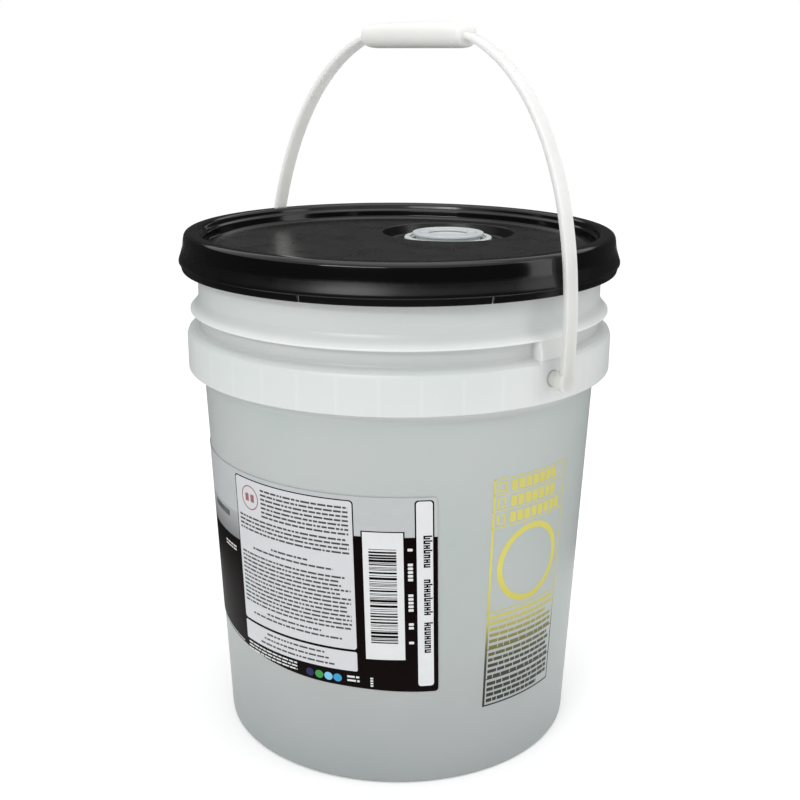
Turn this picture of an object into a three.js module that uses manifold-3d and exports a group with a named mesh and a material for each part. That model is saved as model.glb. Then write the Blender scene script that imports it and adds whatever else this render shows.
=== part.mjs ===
// Five gallon plastic pail of liquid, with a press-fit lid, a pull-up spout and a swinging plastic bail.
// Millimetres, +Z up. The origin is at the middle of the foot, and the bail's pivot axis runs along X.
import * as THREE from "three";
import { mergeVertices } from "three/addons/utils/BufferGeometryUtils.js";
import Module from "manifold-3d";

const wasm = await Module();
wasm.setup();

// Fits
const fitGap = 0.3; // between pieces that seat on each other
const runningGap = 0.4; // between pieces that turn or slide
const sink = 1; // how far a fused detail reaches into the wall that carries it

// Pail
const footRadius = 129.4;
const neckRadius = 143.4; // outside, above the tapered wall
const neckStart = 314;
const rimHeight = 363;
const wall = 2.2;
const baseHeight = 4; // the foot ring stands this far below the base
const footWidth = 4.5;
const footRound = 3;
const floorRound = 7;
const beadProud = 4.2; // snap bead round the rim
const beadHeight = 8.5;

// Collar band and upper ring
const bandRadius = neckRadius + 8.6;
const bandBottom = 272;
const bandFace = 25; // height of the upright face
const bandWall = 2.2;
const ribCount = 36;
const ribThickness = 1.6;
const ringRadius = neckRadius + 5.9;
const ringBottom = 312.8;
const ringEdge = 1.3;
const ringSlope = 7.5; // height of the sloping top above its edge

// Ears, one at +X and one at -X
const hingeHeight = 288;
const earFrom = -11.3; // degrees about Z from the pivot axis
const earTo = 9;
const earFaceTop = 309.5;
const earTop = 325;
const earWall = 2.4;
const socketRadius = 9.6;
const socketDepth = 1.2;
const earHole = 4.3;

// Bail
const archHalfWidth = bandRadius + 11.5; // strap middle at the pivots
const archRise = 220;
const archPower = 2.3; // exponent of the arch's superellipse
const bailLean = 4; // degrees, towards +Y
const strapWidth = 9.5;
const strapThickness = 4.2;
const strapRound = 0.8;
const knobRadius = 6.8;
const pinHead = 5.7;
const pinHeadLength = 2.6;
const gripLength = 112;
const gripWidth = 20;
const gripHeight = 17.6;
const gripChamfer = 6.5;

// Lid
const lidTop = rimHeight + 4.5;
const lidWall = 2.2;
const crestInner = neckRadius - 0.6;
const crestOuter = neckRadius + 6;
const skirtBottom = rimHeight - 21.5;
const skirtRadius = neckRadius + 12.7; // over the widest bead
const skirtWaist = skirtRadius - 2.8;
const panelHeight = lidTop - 12.5;
const panelRadius = neckRadius - 9.9;
const plugDepth = 12; // of the plug wall below the pail's rim
const gasketThickness = 1.7;
const slotCount = 8;
const slotWidth = 1.4;
const slotHeight = 4.6;
const slotStart = -18.7; // degrees

// Spout
const spoutOffset = 78; // from the lid's middle
const spoutAngle = 111; // degrees about Z from the pivot axis
const wellRadius = 50.6;
const wellFloor = panelHeight - 8;
const wellSlant = 2.6; // the well's wall leans in by this much
const bossRadius = 30.6;
const bossHeight = 2.2;
const bossWall = 2;
const flangeThickness = 0.9;
const lockRingRadius = 33.7;
const spoutDepth = 12.7; // of the folded spout below its flange
const spoutWall = 1.3;
const neckOuter = 22;
const neckTop = wellFloor + 4.3;
const membrane = 1;
const ringPullRadius = 9;
const ringPullWire = 0.7;

// Cap and its two pull tabs
const capTop = panelHeight;
const capRadius = 27.4;
const capLip = 2;
const capSkirtWall = 2.6;
const capSkirtDepth = 10;
const capPlate = 1.1;
const tabRecess = 22;
const tabWidth = 6;
const tabThickness = 1.6;
const tabPivot = 1.6; // each tab's hinge line from the cap's middle
const tabAngle = 49; // degrees of the hinge lines about Z

// Label and contents
const labelFrom = -179.3;
const labelTo = -29.7;
const labelBottom = 72.4;
const labelTop = 214.8;
const labelFilm = 0.25;
const headspace = 33; // air between the contents and the pail's rim

// Facets
const roundFacets = 48;
const spoutFacets = 24;

const radians = THREE.MathUtils.degToRad;

// A closed geometry as a solid, facing out.
function solid(geometry) {
  const bare = geometry.clone();
  bare.deleteAttribute("normal");
  bare.deleteAttribute("uv");
  const merged = mergeVertices(bare, 1e-4);
  const corners = merged.index.array;
  const faces = [];
  for (let i = 0; i < corners.length; i += 3) {
    const [a, b, c] = [corners[i], corners[i + 1], corners[i + 2]];
    if (a !== b && b !== c && a !== c) faces.push(a, b, c);
  }
  const make = () =>
    new wasm.Manifold(
      new wasm.Mesh({
        numProp: 3,
        vertProperties: merged.attributes.position.array,
        triVerts: new Uint32Array(faces),
      }),
    );
  if (make().volume() > 0) return make();
  faces.reverse();
  return make();
}

// A solid as a geometry again.
function geometryOf(body) {
  const mesh = body.getMesh();
  const positions = new Float32Array(mesh.numVert * 3);
  for (let i = 0; i < mesh.numVert; i++) {
    positions.set(mesh.vertProperties.subarray(i * mesh.numProp, i * mesh.numProp + 3), i * 3);
  }
  return new THREE.BufferGeometry()
    .setAttribute("position", new THREE.BufferAttribute(positions, 3))
    .setIndex(new THREE.BufferAttribute(mesh.triVerts, 1));
}

// A closed section of [radius, height] points turned about Z.
function revolve(section, facets = roundFacets) {
  const points = section.map(([r, z]) => new THREE.Vector2(r, z));
  if (section[0][0] > 0 || section.at(-1)[0] > 0) points.push(points[0].clone());
  return solid(new THREE.LatheGeometry(points, facets).rotateX(Math.PI / 2));
}

// An upright prism over an outline of [x, y] points.
function prism(outline, bottom, top) {
  const shape = new THREE.Shape(outline.map(([x, y]) => new THREE.Vector2(x, y)));
  const options = { depth: top - bottom, bevelEnabled: false };
  return solid(new THREE.ExtrudeGeometry(shape, options).translate(0, 0, bottom));
}

// The part of space between two plan angles, in degrees, and two heights.
function wedge(from, to, bottom, top) {
  const reach = 2 * bandRadius;
  const steps = Math.max(1, Math.ceil((to - from) / 60));
  const outline = [[0, 0]];
  for (let i = 0; i <= steps; i++) {
    const angle = radians(from + ((to - from) * i) / steps);
    outline.push([reach * Math.cos(angle), reach * Math.sin(angle)]);
  }
  return prism(outline, bottom, top);
}

// A round bar along X, from one x to another, at the pivot's height.
function pivotBar(radius, from, to, facets = spoutFacets) {
  const bar = new THREE.CylinderGeometry(radius, radius, to - from, facets);
  bar.rotateZ(Math.PI / 2).translate((from + to) / 2, 0, hingeHeight);
  return solid(bar);
}

// Points of an arc in a section, angles in degrees from the +radius direction.
function arc(r, z, radius, from, to, steps) {
  return Array.from({ length: steps + 1 }, (_, i) => {
    const angle = radians(from + ((to - from) * i) / steps);
    return [r + radius * Math.cos(angle), z + radius * Math.sin(angle)];
  });
}

// The same solid on both sides of the pail, half a turn apart.
function bothSides(body) {
  return body.add(body.rotate([0, 0, 180]));
}

const wallDraft = (neckRadius - footRadius) / neckStart;
const wallOuter = (z) => footRadius + wallDraft * Math.min(z, neckStart);
const wallInner = (z) => wallOuter(z) - wall;
const wallRoot = (z) => wallOuter(z) - sink; // where a fused detail starts, inside the wall
const floorTop = baseHeight + wall;
const rimInner = neckRadius - wall;
const beadRadius = neckRadius + beadProud;
const earBack = bandRadius - socketDepth - earWall; // inner face of the ear

// Foot ring, tapered wall, neck and snap bead: one open-topped shell.
function pailShell() {
  const beadTop = rimHeight - 1.2;
  const footInner = footRadius - footWidth;
  return revolve([
    [0, baseHeight],
    [footInner - baseHeight / 2, baseHeight],
    [footInner, 0],
    ...arc(wallOuter(footRound) - footRound, footRound, footRound, -90, 0, 3),
    [neckRadius, neckStart],
    [neckRadius, beadTop - beadHeight - beadProud / 3],
    [beadRadius, beadTop - beadHeight],
    [beadRadius, beadTop - beadProud / 2],
    [beadRadius - beadProud / 2, rimHeight],
    [rimInner + 0.6, rimHeight],
    [rimInner, rimHeight - 1],
    [wallInner(neckStart), neckStart],
    ...arc(wallInner(floorTop + floorRound) - floorRound, floorTop + floorRound, floorRound, 0, -90, 3),
    [0, floorTop],
  ]);
}

// The hanging band: a shoulder that leaves the wall and a skirt that is open below.
function collarBand() {
  const faceTop = bandBottom + bandFace;
  const root = wallRoot(faceTop);
  const inside = bandRadius - bandWall;
  return revolve([
    [inside, bandBottom],
    [bandRadius - 0.8, bandBottom],
    [bandRadius, bandBottom + 1],
    [bandRadius, faceTop - 1],
    [bandRadius - 0.9, faceTop + 1.2],
    [bandRadius - 3.6, faceTop + 3],
    [root, faceTop + 4],
    [root, faceTop + 4 - bandWall],
    [inside - 2, faceTop + 3 - bandWall],
    [inside, faceTop - 1.5],
  ]);
}

// The thin ring above the band, with a sharp lower edge and a hollow-sloped top.
function upperRing() {
  const root = neckRadius - sink;
  const top = ringBottom + ringEdge;
  return revolve([
    [root, ringBottom + 2.4],
    [ringRadius - 0.4, ringBottom],
    [ringRadius, ringBottom + ringEdge / 2],
    [ringRadius - 0.2, top],
    [ringRadius - 2.2, top + ringSlope / 3],
    [neckRadius + 1.2, top + ringSlope * 0.72],
    [root, top + ringSlope],
  ]);
}

// Upright ribs that stiffen the band from behind.
function bandRibs() {
  const inner = wallRoot(bandBottom);
  const outer = bandRadius - bandWall / 2;
  const half = ribThickness / 2;
  const outline = [[inner, -half], [outer, -half], [outer, half], [inner, half]];
  const rib = prism(outline, bandBottom + 3, bandBottom + bandFace);
  const pitch = 360 / ribCount;
  const ribs = [];
  for (let i = 0; i < ribCount; i++) ribs.push(rib.rotate([0, 0, pitch * (i + 0.5)]));
  return wasm.Manifold.union(ribs);
}

// One ear at +X: a raised pad that bridges the band and the ring.
function earPad() {
  const bottom = bandBottom + bandFace - 2;
  const pad = revolve([
    [wallRoot(bottom), bottom],
    [bandRadius, bottom],
    [bandRadius, earFaceTop],
    [bandRadius - 1.6, ringBottom + ringEdge],
    [neckRadius + 3.2, earTop - 6],
    [neckRadius - sink, earTop],
    [wallRoot(bottom), ringBottom],
  ]);
  return pad.intersect(wedge(earFrom, earTo, bandBottom, earTop + 1));
}

// The space inside one ear, open below through the band.
function earPocket() {
  const root = wallRoot(bandBottom);
  const side = (earWall / bandRadius) * THREE.MathUtils.RAD2DEG;
  const pocket = revolve([
    [root - sink, bandBottom - 1],
    [earBack, bandBottom - 1],
    [earBack, earFaceTop - earWall],
    [earBack - 2.2, ringBottom - earWall / 2],
    [root - sink, earTop - 3 * earWall],
  ]);
  return pocket.intersect(wedge(earFrom + side, earTo - side, bandBottom - 2, earTop));
}

function pailBody() {
  let collar = collarBand().add(upperRing()).add(bothSides(earPad()));
  collar = collar.subtract(bothSides(earPocket())).add(bandRibs());
  const socket = pivotBar(socketRadius, bandRadius - socketDepth, bandRadius + 2);
  const hole = pivotBar(earHole, earBack - 1.5, bandRadius, 16);
  collar = collar.subtract(bothSides(socket.add(hole)));
  return pailShell().add(collar);
}

// Superellipse of the strap's middle line: t runs from 0 at one pivot to 1 at the other.
function archPoint(t, offset = 0) {
  const angle = Math.PI * t;
  const power = 2 / archPower;
  const side = Math.cos(angle);
  const x = (archHalfWidth + offset) * Math.sign(side) * Math.abs(side) ** power;
  return [x, (archRise + offset) * Math.sin(angle) ** power];
}

// Height of the grip's middle above the pivot: where the arch enters the grip's ends.
const gripAxis = archRise * (1 - (gripLength / 2 / archHalfWidth) ** archPower) ** (1 / archPower);

// The strap as an outline of the arch, with round ends below the pivots.
function bailStrap() {
  const steps = 30;
  const half = strapThickness / 2 - strapRound;
  const side = (offset) => {
    const points = [];
    for (let i = 0; i <= steps; i++) {
      const [x, z] = archPoint(i / steps, offset);
      points.push([x, Math.min(z, gripAxis + offset)]);
    }
    return points;
  };
  const below = -knobRadius + strapRound;
  const outer = side(half);
  const inner = side(-half).reverse();
  const outline = [
    [archHalfWidth + half, below],
    ...outer,
    [-archHalfWidth - half, below],
    [-archHalfWidth + half, below],
    ...inner,
    [archHalfWidth - half, below],
  ];
  const shape = new THREE.Shape(outline.map(([x, z]) => new THREE.Vector2(x, z)));
  const options = {
    depth: strapWidth - 2 * strapRound,
    bevelThickness: strapRound,
    bevelSize: strapRound,
    bevelSegments: 1,
  };
  const strap = new THREE.ExtrudeGeometry(shape, options);
  strap.rotateX(Math.PI / 2).translate(0, strapWidth / 2 - strapRound, hingeHeight);
  return solid(strap);
}

// The grip: a rounded bar with chamfered ends.
function bailGrip() {
  const corners = 16;
  const inset = 3.4; // how far the chamfer takes each end in
  const outline = [];
  for (let i = 0; i < corners; i++) {
    const angle = (2 * Math.PI * (i + 0.5)) / corners;
    const round = (value) => Math.sign(value) * Math.abs(value) ** 0.8;
    const y = (gripWidth / 2 - inset) * round(Math.cos(angle));
    const z = (gripHeight / 2 - inset) * round(Math.sin(angle));
    outline.push(new THREE.Vector2(y, z));
  }
  const options = {
    depth: gripLength - 2 * gripChamfer,
    bevelThickness: gripChamfer,
    bevelSize: inset,
    bevelSegments: 2,
  };
  const grip = new THREE.ExtrudeGeometry(new THREE.Shape(outline), options);
  grip.translate(0, 0, gripChamfer - gripLength / 2).rotateZ(Math.PI / 2).rotateY(Math.PI / 2);
  return solid(grip.translate(0, 0, hingeHeight + gripAxis));
}

// One pivot end at +X: the round knob, the pin through the ear and the head behind it.
function bailPin() {
  const knobBack = bandRadius - socketDepth + runningGap;
  const knobFront = archHalfWidth + strapThickness / 2;
  const headFront = earBack - runningGap;
  const profile = [
    [0, headFront - pinHeadLength],
    [pinHead - 1.8, headFront - pinHeadLength],
    [pinHead, headFront - 0.8],
    [pinHead, headFront],
    [earHole - runningGap, headFront],
    [earHole - runningGap, knobBack],
    [knobRadius, knobBack],
    [knobRadius, knobFront - 1.6],
    [knobRadius - 1.6, knobFront],
    [0, knobFront],
  ];
  return revolve(profile, 16).rotate([0, 90, 0]).translate([0, 0, hingeHeight]);
}

function bail() {
  const upright = bailStrap().add(bailGrip()).add(bothSides(bailPin()));
  return upright.translate([0, 0, -hingeHeight]).rotate([-bailLean, 0, 0]).translate([0, 0, hingeHeight]);
}

// Section of the lid: panel, stepped recess wall, crest, skirt, channel and plug wall.
function lidShell() {
  const plugOuter = rimInner - runningGap;
  const plugBottom = rimHeight - plugDepth;
  const channelTop = lidTop - lidWall;
  const recess = plugOuter - lidWall; // visible inner wall of the recess
  const snap = beadRadius + runningGap;
  const waistHeight = panelHeight + 2.4;
  const beadLine = skirtBottom + 6.9;
  return revolve([
    [0, panelHeight],
    [panelRadius, panelHeight],
    [panelRadius + 2.8, panelHeight + 1],
    [recess - 0.7, panelHeight + 2.6],
    [recess, lidTop - 5.2],
    [recess + 1.8, lidTop - 4.2],
    [recess + 2.5, lidTop - 1.5],
    [crestInner, lidTop],
    [crestOuter, lidTop],
    [crestOuter + 2.2, lidTop - 1.4],
    [crestOuter + 2.9, lidTop - 4],
    [skirtWaist, waistHeight],
    [skirtWaist + 1.2, waistHeight - 4.6],
    [skirtRadius, beadLine],
    [skirtRadius, beadLine - 1.5],
    [skirtRadius - 0.9, beadLine - 2.1],
    [skirtRadius - 2.1, skirtBottom],
    [skirtRadius - 4.4, skirtBottom],
    [skirtRadius - 2.7, beadLine - 1.5],
    [skirtRadius - 3.6, beadLine + 1.8],
    [snap, beadLine + 2.6],
    [snap, beadLine + 3.8],
    [crestOuter + 1.2, waistHeight],
    [crestOuter + 0.4, channelTop - 1.2],
    [crestOuter - 0.6, channelTop],
    [crestInner, channelTop],
    [plugOuter, channelTop - 2],
    [plugOuter, plugBottom + 2],
    [plugOuter - 1.2, plugBottom],
    [recess - 0.8, plugBottom],
    [panelRadius + 1.8, panelHeight - lidWall],
    [0, panelHeight - lidWall],
  ]);
}

// Moves a solid made at the middle to the spout's place on the lid.
function atSpout(body) {
  const angle = radians(spoutAngle);
  return body.translate([spoutOffset * Math.cos(angle), spoutOffset * Math.sin(angle), 0]);
}

const bossTop = wellFloor + bossHeight;

// The spout's round well, sunk into the panel, with the raised neck that carries the spout.
function lidWell() {
  const under = wellFloor - lidWall;
  const floorEdge = wellRadius - wellSlant;
  return revolve(
    [
      [bossRadius - bossWall, under],
      [floorEdge, under],
      [wellRadius + lidWall, panelHeight - lidWall / 2],
      [wellRadius, panelHeight - 0.1],
      [floorEdge, wellFloor],
      [bossRadius, wellFloor],
      [bossRadius, bossTop],
      [bossRadius - bossWall, bossTop],
    ],
    2 * spoutFacets,
  );
}

function lid() {
  const cut = revolve(
    [[0, panelHeight - 2 * lidWall], [wellRadius, panelHeight - 2 * lidWall], [wellRadius, lidTop], [0, lidTop]],
    2 * spoutFacets,
  );
  const half = slotWidth / 2;
  const outline = [[skirtWaist - 3, -half], [skirtRadius + 1, -half], [skirtRadius + 1, half], [skirtWaist - 3, half]];
  const slot = prism(outline, skirtBottom - 1, skirtBottom + slotHeight);
  const slots = [];
  for (let i = 0; i < slotCount; i++) slots.push(slot.rotate([0, 0, slotStart + (360 * i) / slotCount]));
  return lidShell().subtract(atSpout(cut)).add(atSpout(lidWell())).subtract(wasm.Manifold.union(slots));
}

// Flat sealing ring between the pail's rim and the lid's channel.
function gasket() {
  const bottom = rimHeight + fitGap;
  return revolve([
    [crestInner + 0.2, bottom],
    [crestOuter - 1, bottom],
    [crestOuter - 1, bottom + gasketThickness],
    [crestInner + 0.2, bottom + gasketThickness],
  ]);
}

const flangeBottom = bossTop + fitGap;
const flangeTop = flangeBottom + flangeThickness;

// Retaining ring that clips over the lid's neck and holds the spout's flange down.
function lockRing() {
  const inside = bossRadius + runningGap;
  const lip = flangeTop + fitGap;
  return revolve(
    [
      [inside, wellFloor + fitGap],
      [lockRingRadius, wellFloor + fitGap],
      [lockRingRadius, lip],
      [lockRingRadius - 0.8, lip + 0.9],
      [inside - 1.6, lip + 0.9],
      [inside - 1.6, lip],
      [inside, lip],
    ],
    spoutFacets,
  );
}

// The folded spout: flange, outer wall, fold, threaded neck and tear-out membrane, in one moulding.
function spout() {
  const outer = bossRadius - bossWall - fitGap;
  const foldBottom = flangeBottom - spoutDepth;
  const neckInner = neckOuter - 1.6;
  const sealTop = neckTop - 1.9;
  const shell = revolve(
    [
      [0, sealTop - membrane],
      [neckInner, sealTop - membrane],
      [neckInner, foldBottom + 1],
      [neckInner + 1.4, foldBottom],
      [outer - 2, foldBottom],
      [outer - 0.7, foldBottom + 1.6],
      [outer, flangeBottom],
      [bossRadius - fitGap, flangeBottom],
      [bossRadius - fitGap, flangeTop],
      [outer - 0.6, flangeTop],
      [outer - spoutWall, flangeBottom],
      [outer - spoutWall - 0.6, foldBottom + 2.4],
      [neckOuter + 0.8, foldBottom + spoutWall + 0.3],
      [neckOuter, foldBottom + 2.4],
      [neckOuter, neckTop],
      [neckInner, neckTop],
      [neckInner, sealTop],
      [0, sealTop],
    ],
    spoutFacets,
  );
  const pull = new THREE.TorusGeometry(ringPullRadius, ringPullWire, 6, spoutFacets);
  const ring = solid(pull.translate(0, 0, sealTop + ringPullWire * 0.8));
  return shell.add(ring);
}

// Screw cap: lip, recessed top for the tabs and a skirt round the spout's neck.
function cap() {
  const skirtInner = neckOuter + runningGap;
  const recessFloor = neckTop + runningGap + capPlate;
  const skirtEnd = neckTop - capSkirtDepth;
  return revolve(
    [
      [0, neckTop + runningGap],
      [skirtInner, neckTop + runningGap],
      [skirtInner, skirtEnd],
      [skirtInner + capSkirtWall, skirtEnd],
      [skirtInner + capSkirtWall, capTop - capLip],
      [capRadius - 0.3, capTop - capLip],
      [capRadius, capTop - capLip + 0.4],
      [capRadius, capTop - 0.5],
      [capRadius - 0.6, capTop],
      [tabRecess, capTop],
      [tabRecess, recessFloor],
      [0, recessFloor],
    ],
    spoutFacets,
  );
}

// One half-ring tab on the +Y side of its hinge line, flush with the cap's top.
function pullTab() {
  const outer = tabRecess - runningGap;
  const inner = outer - tabWidth;
  const start = Math.asin(tabPivot / outer);
  const startInner = Math.asin(tabPivot / inner);
  const shape = new THREE.Shape();
  shape.absarc(0, 0, outer, start, Math.PI - start, false);
  shape.absarc(0, 0, inner, Math.PI - startInner, startInner, true);
  const top = capTop - 0.2;
  const options = { depth: tabThickness, bevelEnabled: false, curveSegments: 10 };
  return solid(new THREE.ExtrudeGeometry(shape, options).translate(0, 0, top - tabThickness));
}

// Film wrapped round the wall.
function label() {
  const inside = (z) => wallOuter(z) + fitGap;
  const film = revolve([
    [inside(labelBottom), labelBottom],
    [inside(labelBottom) + labelFilm, labelBottom],
    [inside(labelTop) + labelFilm, labelTop],
    [inside(labelTop), labelTop],
  ]);
  return film.intersect(wedge(labelFrom, labelTo, labelBottom - 1, labelTop + 1));
}

// The contents, standing clear of the shell by the fit gap.
function contents() {
  const bottom = floorTop + fitGap;
  const corner = floorTop + floorRound;
  const level = rimHeight - headspace;
  return revolve([
    [0, bottom],
    ...arc(wallInner(corner) - floorRound, corner, floorRound - fitGap, -90, 0, 3),
    [wallInner(neckStart) - fitGap, neckStart],
    [wallInner(neckStart) - fitGap, level],
    [0, level],
  ]);
}

function mesh(name, body, color, roughness) {
  const material = new THREE.MeshStandardMaterial({ color, roughness, metalness: 0 });
  const made = new THREE.Mesh(geometryOf(body), material);
  made.name = name;
  return made;
}

const naturalPlastic = "#d3d6d5";
const blackPlastic = "#17161a";
const whitePlastic = "#e6e7e5";

const pail = new THREE.Group();
pail.add(
  mesh("pail_body", pailBody(), naturalPlastic, 0.42),
  mesh("liquid_fill", contents(), "#9fa6a3", 0.2),
  mesh("front_label", label(), "#b9b9bb", 0.35),
  mesh("bail", bail(), "#e3e4e1", 0.45),
);

const lidGroup = new THREE.Group();
lidGroup.add(
  mesh("lid", lid(), blackPlastic, 0.25),
  mesh("lid_gasket", gasket(), "#8b8d90", 0.8),
  mesh("spout_ring", atSpout(lockRing()), whitePlastic, 0.4),
);

const spoutGroup = new THREE.Group();
spoutGroup.add(mesh("spout", atSpout(spout()), whitePlastic, 0.45));

const capGroup = new THREE.Group();
const turned = (body, degrees) => atSpout(body.rotate([0, 0, degrees]));
capGroup.add(
  mesh("spout_cap", turned(cap(), 0), whitePlastic, 0.35),
  mesh("pull_tab_rear", turned(pullTab(), tabAngle), whitePlastic, 0.35),
  mesh("pull_tab_front", turned(pullTab(), tabAngle + 180), whitePlastic, 0.35),
);

spoutGroup.add(capGroup);
lidGroup.add(spoutGroup);
pail.add(lidGroup);

export default pail;
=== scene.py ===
# %% [markdown]
# # A five gallon pail of liquid, on a white studio floor
#
# The pail is natural polyethylene, milky and a little see-through. Its lid is glossy black
# polyethylene with a pull-up spout, and its swinging handle is white. A printed film label wraps
# part of the wall, and a panel of yellow and dark ink sits under one ear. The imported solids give
# every place and size. This script builds finer meshes on the same sections and gives each one its
# finish.

# %% Load the frame
import math
import random

import bmesh
import bpy
import numpy as np
from mathutils import Matrix, Quaternion, Vector


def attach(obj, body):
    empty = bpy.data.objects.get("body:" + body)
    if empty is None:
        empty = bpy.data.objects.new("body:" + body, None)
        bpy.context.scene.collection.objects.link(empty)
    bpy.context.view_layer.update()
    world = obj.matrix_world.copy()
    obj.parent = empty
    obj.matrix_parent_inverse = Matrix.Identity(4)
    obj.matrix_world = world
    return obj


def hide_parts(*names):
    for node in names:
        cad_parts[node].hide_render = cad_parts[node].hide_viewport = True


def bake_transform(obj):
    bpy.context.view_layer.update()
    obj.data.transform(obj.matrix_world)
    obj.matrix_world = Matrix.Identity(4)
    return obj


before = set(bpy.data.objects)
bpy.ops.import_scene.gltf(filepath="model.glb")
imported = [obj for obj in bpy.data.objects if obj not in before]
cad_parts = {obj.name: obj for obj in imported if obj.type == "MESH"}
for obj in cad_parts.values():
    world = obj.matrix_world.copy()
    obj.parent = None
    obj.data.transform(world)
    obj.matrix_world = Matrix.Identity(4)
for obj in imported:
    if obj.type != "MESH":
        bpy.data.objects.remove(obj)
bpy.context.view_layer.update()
MM = 0.001
print("solids:", ", ".join(sorted(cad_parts)))

# %% [markdown]
# ## Colours
#
# Colours are written as the hex values seen on the real surfaces. A renderer works in linear light,
# so one function turns each value. Another adds a shader node with its settings and links, which
# keeps the materials short enough to read.

# %% Colour and node helpers
def linear(code):
    """An sRGB hex colour as linear RGBA."""
    parts = [int(code[i:i + 2], 16) / 255 for i in (1, 3, 5)]
    return (*(c / 12.92 if c <= 0.04045 else ((c + 0.055) / 1.055) ** 2.4 for c in parts), 1.0)


def feed(tree, source, socket):
    """Links an output, or a node's first live output, to an input."""
    if isinstance(source, bpy.types.Node):
        source = next(output for output in source.outputs if output.enabled)
    tree.links.new(source, socket)


def add(tree, kind, links=None, stops=(), **settings):
    """Adds a node. Links name its inputs' sources, and stops are a ramp's colours by place.

    The rest are settings or input values, where i1 stands for the second input.
    """
    node = tree.nodes.new("ShaderNode" + kind)
    for key, value in settings.items():
        if hasattr(node, key):
            setattr(node, key, value)
        else:
            name = int(key[1:]) if key[0] == "i" and key[1:].isdigit() else key.replace("_", " ")
            node.inputs[name].default_value = value
    for key, source in (links or {}).items():
        feed(tree, source, node.inputs[key])
    if stops:
        band = node.color_ramp.elements
        while len(band) < len(stops):
            band.new(0.5)
        for element, (place, code) in zip(band, stops):
            element.position = place
            element.color = linear(code)
    return node


def finish_of(name, shader_settings, base="#808080"):
    """A new material with a Principled shader. Returns the material, its tree and the shader."""
    material = bpy.data.materials.new(name)
    material.use_nodes = True
    tree = material.node_tree
    shader = tree.nodes["Principled BSDF"]
    shader.inputs["Base Color"].default_value = linear(base)
    for key, value in shader_settings.items():
        shader.inputs[key].default_value = value
    return material, tree, shader


# %% [markdown]
# ## Turned shapes
#
# Nearly every piece of a pail is round, because it is moulded in a turned mould. The same happens
# here: a section of radius and height points is carried round the axis. A modelling tool would do
# this with a Screw modifier, but plain vertices let the section change along the way, which the
# ears need. Small arcs at the corners of the section catch the light as real moulded edges do.

# %% Section and loft helpers
def soften(corners, steps=4):
    """Points of a section. A corner is (r, z), or (r, z, radius) where it is rounded."""
    points = []
    count = len(corners)
    for i, corner in enumerate(corners):
        here = Vector(corner[:2])
        if len(corner) == 2:
            points.append(tuple(here))
            continue
        before, after = Vector(corners[i - 1][:2]) - here, Vector(corners[(i + 1) % count][:2]) - here
        reach = min(corner[2], 0.45 * before.length, 0.45 * after.length)
        start, end = here + before.normalized() * reach, here + after.normalized() * reach
        for k in range(steps + 1):
            t = k / steps
            spot = start * (1 - t) ** 2 + here * 2 * t * (1 - t) + end * t ** 2
            points.append(tuple(spot))
    return points


def mesh_object(name, points, faces, weld=True, angle=32):
    """An object from points in millimetres and faces, smooth with its sharp edges kept."""
    mesh = bpy.data.meshes.new(name)
    mesh.from_pydata([tuple(MM * c for c in p) for p in points], [], faces)
    obj = bpy.data.objects.new(name, mesh)
    bpy.context.collection.objects.link(obj)
    work = bmesh.new()
    work.from_mesh(mesh)
    if weld:
        bmesh.ops.remove_doubles(work, verts=work.verts, dist=2e-6)
        bmesh.ops.dissolve_degenerate(work, edges=work.edges, dist=1e-7)
    bmesh.ops.recalc_face_normals(work, faces=work.faces)
    work.to_mesh(mesh)
    work.free()
    smooth(obj, angle)
    return obj


def smooth(obj, angle=32):
    """Smooth shading, with edges over that angle kept sharp."""
    obj.data.shade_smooth()
    obj.data.set_sharp_from_angle(angle=math.radians(angle))


def loft(name, columns, at=(0, 0), closed_section=True):
    """Joins sections of [r, z] points at angles in degrees: columns is [(angle, section), ...]."""
    points, faces = [], []
    rows = len(columns[0][1])
    for angle, section in columns:
        c, s = math.cos(math.radians(angle)), math.sin(math.radians(angle))
        points += [(at[0] + r * c, at[1] + r * s, z) for r, z in section]
    total = len(columns)
    for i in range(total):
        j = (i + 1) % total
        for k in range(rows if closed_section else rows - 1):
            m = (k + 1) % rows
            faces.append((i * rows + k, j * rows + k, j * rows + m, i * rows + m))
    return mesh_object(name, points, faces)


def turn(name, section, columns=180, at=(0, 0)):
    """The same section all the way round. It is closed, or both its ends lie on the axis."""
    open_ends = section[0][0] == 0 and section[-1][0] == 0
    return loft(name, [(360 * i / columns, section) for i in range(columns)], at, not open_ends)


def combine(obj, others, operation):
    """Joins or cuts solids exactly, then drops the helpers."""
    for other in others:
        change = obj.modifiers.new(operation.lower(), "BOOLEAN")
        change.operation, change.solver, change.object = operation, "EXACT", other
        bpy.context.view_layer.objects.active = obj
        bpy.ops.object.modifier_apply(modifier=change.name)
        bpy.data.objects.remove(other)
    smooth(obj)
    return obj


def drum(name, radius, start, end, at, axis="Z", sides=96):
    """A plain round cutter along Z or X, between two places."""
    points, faces = [], []
    for place in (start, end):
        for i in range(sides):
            c, s = radius * math.cos(2 * math.pi * i / sides), radius * math.sin(2 * math.pi * i / sides)
            points.append((at[0] + c, at[1] + s, place) if axis == "Z" else (place, at[1] + c, at[2] + s))
    faces.append(tuple(range(sides)))
    faces.append(tuple(range(sides, 2 * sides)))
    faces += [(i, (i + 1) % sides, sides + (i + 1) % sides, sides + i) for i in range(sides)]
    return mesh_object(name, points, faces)


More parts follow.
